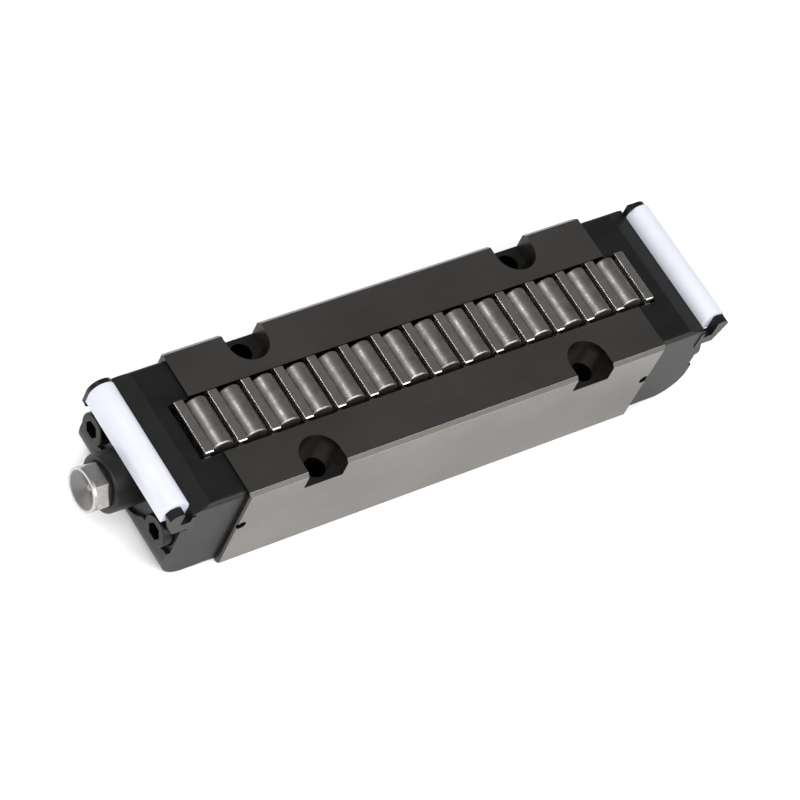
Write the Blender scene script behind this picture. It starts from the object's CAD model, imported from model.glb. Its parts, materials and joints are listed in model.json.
"""Look of the linear roller carriage: materials, light, floor and camera."""
import json
import math

import bmesh
import bpy
from mathutils import Matrix, Vector


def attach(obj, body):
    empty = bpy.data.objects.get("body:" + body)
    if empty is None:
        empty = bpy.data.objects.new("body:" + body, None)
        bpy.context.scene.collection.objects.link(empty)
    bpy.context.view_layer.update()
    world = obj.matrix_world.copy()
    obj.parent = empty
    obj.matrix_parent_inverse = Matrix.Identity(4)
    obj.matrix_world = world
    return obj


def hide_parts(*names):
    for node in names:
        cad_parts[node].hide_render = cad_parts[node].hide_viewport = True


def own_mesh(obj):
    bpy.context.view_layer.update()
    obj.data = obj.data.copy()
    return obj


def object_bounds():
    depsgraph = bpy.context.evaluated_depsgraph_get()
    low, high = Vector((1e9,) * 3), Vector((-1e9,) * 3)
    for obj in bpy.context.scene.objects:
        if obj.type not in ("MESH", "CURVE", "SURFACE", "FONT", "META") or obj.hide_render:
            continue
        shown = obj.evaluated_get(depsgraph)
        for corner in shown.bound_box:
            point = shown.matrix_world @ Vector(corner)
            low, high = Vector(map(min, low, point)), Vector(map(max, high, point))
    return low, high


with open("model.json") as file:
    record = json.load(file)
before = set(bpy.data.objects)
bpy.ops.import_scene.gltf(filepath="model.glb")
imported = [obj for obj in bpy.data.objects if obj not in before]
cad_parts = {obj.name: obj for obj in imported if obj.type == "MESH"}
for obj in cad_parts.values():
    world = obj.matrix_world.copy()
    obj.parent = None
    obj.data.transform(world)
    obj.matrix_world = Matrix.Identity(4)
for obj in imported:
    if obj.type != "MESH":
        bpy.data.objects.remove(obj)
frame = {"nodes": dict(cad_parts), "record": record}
CAD_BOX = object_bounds()
NODES = frame["nodes"]
CARRIAGE = "carriage"        # the body that everything fixed rides on
MM = 1000.0                  # millimetres in a metre

# ---- camera: place (metres), direction, roll (degrees), lens and sensor (millimetres) --------
CAMERA_AT = (-0.5991, -0.4116, 0.8823)
CAMERA_FORWARD = (0.5290, 0.3616, -0.7677)
CAMERA_ROLL = 28.97
CAMERA_LENS = 171.6
CAMERA_SENSOR = 36.0
CLIP_NEAR = 0.01
CLIP_FAR = 20.0

# ---- colours (linear) ------------------------------------------------------------------------
STEEL = (0.215, 0.203, 0.190)
STEEL_DARK = (0.160, 0.150, 0.138)
MOUTH = (0.17, 0.163, 0.157)
RECESS = (0.075, 0.070, 0.064)
BLACK = (0.0035, 0.0035, 0.0034)
BLACK_GUIDE = (0.010, 0.010, 0.010)
BLACK_HOLDER = (0.004, 0.004, 0.0042)
FLOW_GAIN = 1.8              # how much paler the flow marks in black polymer are
FLOW_LIFT = 0.001
DUST = (0.10, 0.098, 0.095)
WHITE_PLASTIC = (0.54, 0.55, 0.60)
WHITE_CLOUD = (0.50, 0.515, 0.57)
ROLLER_LIGHT = (0.44, 0.42, 0.40)
ROLLER_DARK = (0.22, 0.208, 0.195)
SPACER_LIGHT = (0.56, 0.535, 0.51)
SPACER_DARK = (0.42, 0.40, 0.38)
SPRING_LIGHT = (0.45, 0.44, 0.43)
SPRING_DARK = (0.3, 0.3, 0.29)
OXIDE = (0.030, 0.029, 0.028)
OXIDE_WORN = (0.09, 0.085, 0.08)
PLATE_BRIGHT = (0.50, 0.485, 0.47)
PLATE_DULL = (0.38, 0.368, 0.356)
PAPER = (0.93, 0.93, 0.93)
PAPER_LIGHT = (0.95, 0.95, 0.95)
SKY = (0.96, 0.97, 1.0, 1.0)

# ---- wiper strips (metres): the CAD section, drawn smooth ------------------------------------
WIPER_IN = 0.09406
WIPER_OUT = 0.10239
WIPER_FOOT = 0.0307
WIPER_CREST = 0.03799
WIPER_OUTER_ROUND = 0.0041
WIPER_INNER_ROUND = 0.0038
WIPER_HALF = 0.02159
WIPER_END_ROUND = 0.0003
ARC_STEPS = 16
END_STEPS = 4

# ---- block outline (millimetres): its ground faces, and how thick their skin is --------------
BLOCK_TOP = 36.1
BLOCK_HALF = 26.0
FACE_SKIN = 0.05

# ---- nipple (millimetres): its axis height, and its mouth ------------------------------------
NIPPLE_Z = 21.7
MOUTH_R = 6.2                # radius of the mouth at its rim
MOUTH_EDGE = 0.3             # over which the finish changes
MOUTH_X = -108.5             # the mouth lies beyond this

# ---- edge rounds (metres) by material slot, and what counts as an edge (degrees) -------------
EDGE_ANGLE = 35.0
BEVEL_SEGMENTS = 3
EDGE_ROUNDS = {
    "block_steel": 0.00018,
    "cap_polymer": 0.00035,
    "holder_polymer": 0.00030,
    "screw_steel": 0.00015,
    "nipple_steel": 0.00020,
}


# ---- node helpers ----------------------------------------------------------------------------
class Graph:
    """Short way to build a material's node tree."""

    def __init__(self, name, **sockets):
        self.mat = bpy.data.materials.new(name)
        self.mat.use_nodes = True
        self.tree = self.mat.node_tree
        self.bsdf = self.tree.nodes["Principled BSDF"]
        for key, value in sockets.items():
            self.bsdf.inputs[key.replace("_", " ")].default_value = value

    def node(self, kind, **settings):
        made = self.tree.nodes.new(kind)
        for key, value in settings.items():
            setattr(made, key, value)
        return made

    def link(self, source, target):
        self.tree.links.new(source, target)

    def coords(self, scale=(1.0, 1.0, 1.0)):
        """Object coordinates in millimetres, stretched by scale."""
        where = self.node("ShaderNodeTexCoord")
        mapping = self.node("ShaderNodeMapping")
        mapping.inputs["Scale"].default_value = [MM * stretch for stretch in scale]
        self.link(where.outputs["Object"], mapping.inputs["Vector"])
        return mapping.outputs["Vector"]

    def noise(self, vector, scale, detail, rough):
        made = self.node("ShaderNodeTexNoise")
        made.inputs["Scale"].default_value = scale
        made.inputs["Detail"].default_value = detail
        made.inputs["Roughness"].default_value = rough
        self.link(vector, made.inputs["Vector"])
        return made.outputs["Fac"]

    def ramp(self, value, low, high, left=0.0, right=1.0):
        """Map value linearly from low..high to left..right, held at both ends."""
        made = self.node("ShaderNodeMapRange")
        made.inputs["From Min"].default_value = low
        made.inputs["From Max"].default_value = high
        made.inputs["To Min"].default_value = left
        made.inputs["To Max"].default_value = right
        self.link(value, made.inputs["Value"])
        return made.outputs["Result"]

    def math(self, how, a, b):
        made = self.node("ShaderNodeMath", operation=how)
        for socket, value in zip(made.inputs, (a, b)):
            if isinstance(value, (int, float)):
                socket.default_value = value
            else:
                self.link(value, socket)
        return made.outputs["Value"]

    def mix(self, fac, a, b):
        """Colour a where fac is 0, colour b where it is 1."""
        made = self.node("ShaderNodeMix", data_type="RGBA")
        self.link(fac, made.inputs["Factor"])
        for socket, value in ((made.inputs["A"], a), (made.inputs["B"], b)):
            if isinstance(value, tuple):
                socket.default_value = (*value, 1.0)
            else:
                self.link(value, socket)
        return made.outputs["Result"]

    def bump(self, height, strength, distance):
        made = self.node("ShaderNodeBump")
        made.inputs["Strength"].default_value = strength
        made.inputs["Distance"].default_value = distance
        self.link(height, made.inputs["Height"])
        self.link(made.outputs["Normal"], self.bsdf.inputs["Normal"])

    def xyz(self):
        """The three object coordinates in millimetres, one socket each."""
        apart = self.node("ShaderNodeSeparateXYZ")
        self.link(self.coords(), apart.inputs["Vector"])
        return apart.outputs["X"], apart.outputs["Y"], apart.outputs["Z"]

    def recess(self):
        """1 in the block's pockets and slot and on its long chamfers, 0 on its ground faces."""
        _, y, z = self.xyz()
        across = self.math("ABSOLUTE", y, 0.0)
        low = self.math("LESS_THAN", z, BLOCK_TOP - FACE_SKIN)
        high = self.math("GREATER_THAN", z, FACE_SKIN)
        within = self.math("LESS_THAN", across, BLOCK_HALF - FACE_SKIN)
        return self.math("MULTIPLY", within, self.math("MULTIPLY", low, high))

    def mouth(self):
        """1 inside the nipple's mouth, 0 elsewhere."""
        x, y, z = self.xyz()
        up = self.math("SUBTRACT", z, NIPPLE_Z)
        square = self.math("ADD", self.math("MULTIPLY", up, up), self.math("MULTIPLY", y, y))
        away = self.math("SQRT", square, 0.0)
        near = self.ramp(away, MOUTH_R - MOUTH_EDGE, MOUTH_R, left=1.0, right=0.0)
        return self.math("MULTIPLY", near, self.math("LESS_THAN", x, MOUTH_X))

    def colour(self, source):
        self.link(source, self.bsdf.inputs["Base Color"])

    def rough(self, source):
        self.link(source, self.bsdf.inputs["Roughness"])


# ---- materials -------------------------------------------------------------------------------
def ground_steel(name, colour, dark, base_rough=0.30, recessed=False):
    """Surface-ground steel: fine lines along the travel, soft stains, dark recesses."""
    g = Graph(name, Metallic=1.0)
    lines = g.noise(g.coords((0.02, 1.0, 1.0)), scale=3.0, detail=5.0, rough=0.7)
    broad = g.noise(g.coords((0.02, 0.03, 0.03)), scale=1.0, detail=4.0, rough=0.5)
    spots = g.noise(g.coords(), scale=0.35, detail=6.0, rough=0.6)
    stain = g.ramp(spots, 0.62, 0.78)
    tone = g.mix(g.ramp(broad, 0.3, 0.7), colour, dark)
    tone = g.mix(g.math("MULTIPLY", stain, 0.45), tone, dark)
    if recessed:
        tone = g.mix(g.recess(), tone, RECESS)
    g.colour(tone)
    fine = g.ramp(lines, 0.2, 0.8, left=base_rough - 0.05, right=base_rough + 0.07)
    g.rough(g.math("ADD", fine, g.math("MULTIPLY", stain, 0.12)))
    g.bump(lines, strength=0.10, distance=0.00003)
    return g.mat


def rolling_steel(name, colour, dark, base_rough):
    """Lapped bearing steel with faint rings round the roller and a thin grease film."""
    g = Graph(name, Metallic=1.0)
    rings = g.noise(g.coords((0.15, 2.2, 0.15)), scale=1.5, detail=4.0, rough=0.6)
    film = g.noise(g.coords(), scale=0.30, detail=5.0, rough=0.6)
    g.colour(g.mix(g.ramp(film, 0.35, 0.70), colour, dark))
    rough = g.ramp(film, 0.3, 0.75, left=base_rough, right=base_rough + 0.14)
    g.rough(g.math("ADD", rough, g.ramp(rings, 0.3, 0.7, left=-0.02, right=0.03)))
    g.bump(rings, strength=0.01, distance=0.00001)
    return g.mat


def moulded_black(name, colour=BLACK, base_rough=0.42):
    """Moulded black polymer: fine spark texture, flow marks, slight dusting."""
    g = Graph(name)
    g.bsdf.inputs["Specular IOR Level"].default_value = 0.32
    fine = g.noise(g.coords(), scale=2.6, detail=6.0, rough=0.6)
    flow = g.noise(g.coords((0.05, 0.12, 0.2)), scale=1.0, detail=3.0, rough=0.5)
    dust = g.noise(g.coords(), scale=0.9, detail=8.0, rough=0.7)
    light = tuple(FLOW_GAIN * c + FLOW_LIFT for c in colour)
    tone = g.mix(g.ramp(flow, 0.35, 0.65, left=0.0, right=0.6), colour, light)
    tone = g.mix(g.ramp(dust, 0.66, 0.80, left=0.0, right=0.12), tone, DUST)
    g.colour(tone)
    g.rough(g.ramp(fine, 0.3, 0.7, left=base_rough - 0.05, right=base_rough + 0.08))
    g.bump(fine, strength=0.12, distance=0.00006)
    return g.mat


def white_polymer(name):
    """Waxy white wiper plastic, faintly blue, with shallow machining lines."""
    g = Graph(name)
    g.bsdf.inputs["Subsurface Weight"].default_value = 0.15
    g.bsdf.inputs["Subsurface Scale"].default_value = 0.002
    lines = g.noise(g.coords((1.0, 0.05, 1.0)), scale=1.6, detail=4.0, rough=0.6)
    cloud = g.noise(g.coords(), scale=0.08, detail=4.0, rough=0.5)
    g.colour(g.mix(g.ramp(cloud, 0.3, 0.7), WHITE_PLASTIC, WHITE_CLOUD))
    g.rough(g.ramp(lines, 0.3, 0.7, left=0.42, right=0.52))
    g.bump(lines, strength=0.08, distance=0.00005)
    return g.mat


def black_oxide(name):
    """Blackened screw steel with worn, slightly bare edges."""
    g = Graph(name, Metallic=1.0)
    fine = g.noise(g.coords(), scale=2.2, detail=6.0, rough=0.65)
    wear = g.noise(g.coords(), scale=0.7, detail=7.0, rough=0.7)
    g.colour(g.mix(g.ramp(wear, 0.58, 0.74), OXIDE, OXIDE_WORN))
    g.rough(g.ramp(fine, 0.3, 0.7, left=0.32, right=0.48))
    g.bump(fine, strength=0.15, distance=0.00004)
    return g.mat


def turned_plate(name):
    """Zinc-plated nipple: bright outside, duller in the mouth, with turning lines."""
    g = Graph(name, Metallic=1.0)
    rings = g.noise(g.coords((2.5, 0.2, 0.2)), scale=1.5, detail=4.0, rough=0.6)
    dull = g.noise(g.coords(), scale=0.6, detail=6.0, rough=0.6)
    tone = g.mix(g.ramp(dull, 0.45, 0.72), PLATE_BRIGHT, PLATE_DULL)
    g.colour(g.mix(g.mouth(), tone, MOUTH))
    g.rough(g.ramp(dull, 0.35, 0.75, left=0.38, right=0.46))
    g.bump(rings, strength=0.06, distance=0.00002)
    return g.mat


MATERIALS = {
    "block_steel": ground_steel("block_steel", STEEL, STEEL_DARK, recessed=True),
    "cover_steel": ground_steel("cover_steel", STEEL, STEEL_DARK, base_rough=0.36),
    "bearing_steel": rolling_steel("bearing_steel", ROLLER_LIGHT, ROLLER_DARK, base_rough=0.34),
    "spacer_steel": rolling_steel("spacer_steel", SPACER_LIGHT, SPACER_DARK, base_rough=0.17),
    "cap_polymer": moulded_black("cap_polymer"),
    "guide_polymer": moulded_black("guide_polymer", BLACK_GUIDE, base_rough=0.35),
    "holder_polymer": moulded_black("holder_polymer", BLACK_HOLDER, base_rough=0.38),
    "wiper_polymer": white_polymer("wiper_polymer"),
    "screw_steel": black_oxide("screw_steel"),
    "nipple_steel": turned_plate("nipple_steel"),
    "spring_steel": rolling_steel("spring_steel", SPRING_LIGHT, SPRING_DARK, base_rough=0.25),
}


# ---- pieces ----------------------------------------------------------------------------------
def add_bevel(obj, width):
    """Round the sharp edges a little, so that they catch the light."""
    bevel = obj.modifiers.new("edge_round", "BEVEL")
    bevel.width = width
    bevel.segments = BEVEL_SEGMENTS
    bevel.limit_method = "ANGLE"
    bevel.angle_limit = math.radians(EDGE_ANGLE)
    bevel.use_clamp_overlap = True
    bevel.harden_normals = False


def dress_nodes():
    """Give every CAD node its material, and round the edges of the slots in EDGE_ROUNDS."""
    for entry in frame["record"]["subparts"]:
        obj = NODES[entry["node"]]
        slot = entry["material_slot"]
        obj.data.materials.clear()
        obj.data.materials.append(MATERIALS[slot])
        if slot in EDGE_ROUNDS:
            add_bevel(obj, EDGE_ROUNDS[slot])


def wiper_outline(inset):
    """Closed outline in x and z, shrunk by inset: a flat foot under two rounded corners."""
    points = [(WIPER_IN + inset, WIPER_FOOT + inset), (WIPER_OUT - inset, WIPER_FOOT + inset)]
    corners = (
        (WIPER_OUT - WIPER_OUTER_ROUND, WIPER_OUTER_ROUND, 0.0),
        (WIPER_IN + WIPER_INNER_ROUND, WIPER_INNER_ROUND, math.pi / 2),
    )
    for middle, radius, first in corners:
        reach = radius - inset
        for step in range(ARC_STEPS + 1):
            turn = first + step / ARC_STEPS * math.pi / 2
            up = WIPER_CREST - radius + reach * math.sin(turn)
            points.append((middle + reach * math.cos(turn), up))
    return points


def wiper_stations():
    """Where the outline stands along the wiper, and how far it is shrunk there."""
    ends = []
    for step in range(END_STEPS + 1):
        turn = step / END_STEPS * math.pi / 2
        along = WIPER_HALF - WIPER_END_ROUND * (1 - math.sin(turn))
        ends.append((along, WIPER_END_ROUND * (1 - math.cos(turn))))
    front = [(-along, inset) for along, inset in reversed(ends)]
    return front + ends


def make_wiper(node, side):
    """Smooth strip in place of the CAD wiper, which has coarse facets."""
    body = bmesh.new()
    rings = []
    for along, inset in wiper_stations():
        rings.append([body.verts.new((side * x, along, z)) for x, z in wiper_outline(inset)])
    for ring, after in zip(rings, rings[1:]):
        for i in range(len(ring)):
            body.faces.new((ring[i - 1], ring[i], after[i], after[i - 1]))
    body.faces.new(rings[0])
    body.faces.new(rings[-1])
    bmesh.ops.recalc_face_normals(body, faces=body.faces)
    mesh = bpy.data.meshes.new(node + "_strip")
    body.to_mesh(mesh)
    body.free()
    mesh.polygons.foreach_set("use_smooth", [True] * len(mesh.polygons))
    mesh.set_sharp_from_angle(angle=math.radians(EDGE_ANGLE))
    mesh.materials.append(MATERIALS["wiper_polymer"])
    strip = bpy.data.objects.new(node + "_strip", mesh)
    bpy.context.collection.objects.link(strip)
    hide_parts(node)
    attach(strip, CARRIAGE)


def make_spring(node):
    """Copy of the coil that gets shorter as the check ball is pushed in."""
    cad = NODES[node]
    mesh = cad.data.copy()
    mesh.transform(cad.matrix_world)
    coil = bpy.data.objects.new(node + "_coil", mesh)
    bpy.context.collection.objects.link(coil)
    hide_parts(node)
    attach(coil, CARRIAGE)
    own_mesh(coil)


# ---- light: name, place (metres), width, height (metres), power (watts) ----------------------
WORLD_STRENGTH = 0.22
LIGHT_AIM = (0.0, 0.0, 0.02)
LIGHTS = (
    ("key", (-0.8, -0.6, 1.3), 1.2, 1.2, 24.0),
    ("front", (0.5, -1.2, 0.9), 1.4, 1.0, 20.0),
    ("edge_strip", (-0.58, 0.54, 1.27), 0.25, 0.25, 2.0),
)
# these whiten the floor behind the object, and nothing mirrors them
FLOOR_LIGHTS = (
    ("floor_back_left", (-1.2, 1.2, 1.1), 1.6, 1.2, 22.0),
    ("floor_back_right", (0.9, 1.3, 1.1), 1.6, 1.2, 16.0),
)
FLOOR_HALF = 3.0
FLOOR_GAP = 0.00002          # keeps the floor off the mounting face


# ---- stage -----------------------------------------------------------------------------------
def make_floor():
    mesh = bpy.data.meshes.new("floor")
    low = CAD_BOX[0][2] - FLOOR_GAP
    signs = ((-1, -1), (1, -1), (1, 1), (-1, 1))
    corners = [(FLOOR_HALF * x, FLOOR_HALF * y, low) for x, y in signs]
    mesh.from_pydata(corners, [], [(0, 1, 2, 3)])
    floor = bpy.data.objects.new("floor", mesh)
    bpy.context.collection.objects.link(floor)
    g = Graph("floor_paper", Roughness=0.9)
    g.bsdf.inputs["Specular IOR Level"].default_value = 0.1
    fibre = g.noise(g.coords(), scale=0.5, detail=5.0, rough=0.6)
    g.colour(g.mix(fibre, PAPER, PAPER_LIGHT))
    mesh.materials.append(g.mat)


def add_area(name, at, width, height, power):
    """Soft rectangular light, aimed at the object."""
    light = bpy.data.lights.new(name, "AREA")
    light.energy = power
    light.shape = "RECTANGLE"
    light.size = width
    light.size_y = height
    obj = bpy.data.objects.new(name, light)
    bpy.context.collection.objects.link(obj)
    obj.location = at
    towards = Vector(LIGHT_AIM) - Vector(at)
    obj.rotation_euler = towards.to_track_quat("-Z", "Y").to_euler()
    return obj


def make_lights():
    world = bpy.data.worlds.new("studio")
    bpy.context.scene.world = world
    world.use_nodes = True
    back = world.node_tree.nodes["Background"]
    back.inputs["Color"].default_value = SKY
    back.inputs["Strength"].default_value = WORLD_STRENGTH
    for light in LIGHTS:
        add_area(*light)
    for light in FLOOR_LIGHTS:
        add_area(*light).visible_glossy = False


def make_camera():
    data = bpy.data.cameras.new("camera")
    data.sensor_width = CAMERA_SENSOR
    data.lens = CAMERA_LENS
    data.clip_start = CLIP_NEAR
    data.clip_end = CLIP_FAR
    camera = bpy.data.objects.new("camera", data)
    bpy.context.collection.objects.link(camera)
    forward = Vector(CAMERA_FORWARD).normalized()
    level = forward.cross(Vector((0, 0, 1))).normalized()
    upright = level.cross(forward)
    turn = math.radians(CAMERA_ROLL)
    right = level * math.cos(turn) + upright * math.sin(turn)
    up = right.cross(forward)
    axes = Matrix((right, up, -forward)).transposed().to_4x4()
    camera.matrix_world = Matrix.Translation(Vector(CAMERA_AT)) @ axes
    bpy.context.scene.camera = camera


dress_nodes()
make_wiper("wiper_left", -1)
make_wiper("wiper_right", 1)
make_spring("nipple_spring")
make_floor()
make_lights()
make_camera()

view = bpy.context.scene.view_settings
view.view_transform = "Standard"
view.look = "None"
